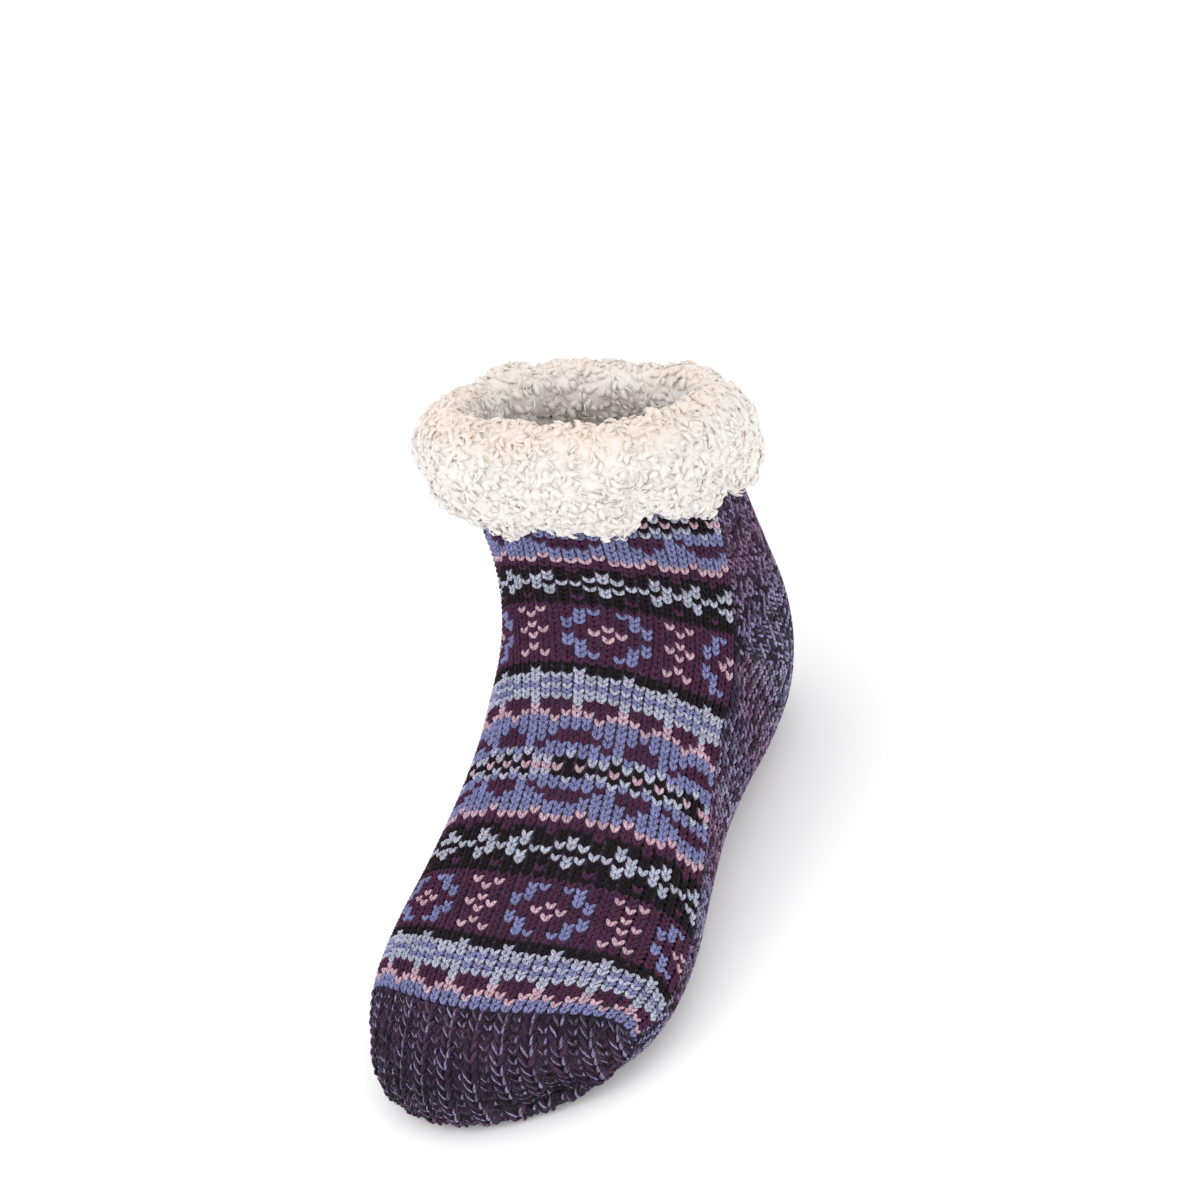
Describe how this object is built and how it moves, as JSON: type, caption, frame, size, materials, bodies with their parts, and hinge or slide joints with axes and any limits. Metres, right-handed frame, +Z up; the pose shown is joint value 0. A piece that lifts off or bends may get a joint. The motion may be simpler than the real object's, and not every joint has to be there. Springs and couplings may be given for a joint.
{
  "type": "knitted slipper sock",
  "caption": "Ankle-height knitted slipper sock standing empty on its sole, with a patterned instep panel, ribbed toe, marled sole and heel, and a turned-down pile cuff.",
  "frame": {"origin": "centre of the sock's bounding box, on the floor under the sole", "axes": "toe towards -Y, heel towards +Y, collar up along +Z, the foot's outer side towards +X"},
  "size_m": [0.1146, 0.2558, 0.1857],
  "materials": {
    "instep_panel": "patterned plain knit in plum, periwinkle, pale grey, pink and charcoal wool",
    "toe_cap": "one by one ribbed knit in plum and charcoal marl with lilac flecks",
    "sole_and_heel": "plain knit in self-striping plum, lilac and mauve marl",
    "cuff": "curly cream sherpa pile"
  },
  "bodies": {
    "root": {"instep_panel": "instep_panel", "toe_cap": "toe_cap", "sole_and_heel": "sole_and_heel", "cuff": "cuff"}
  },
  "joints": []
}
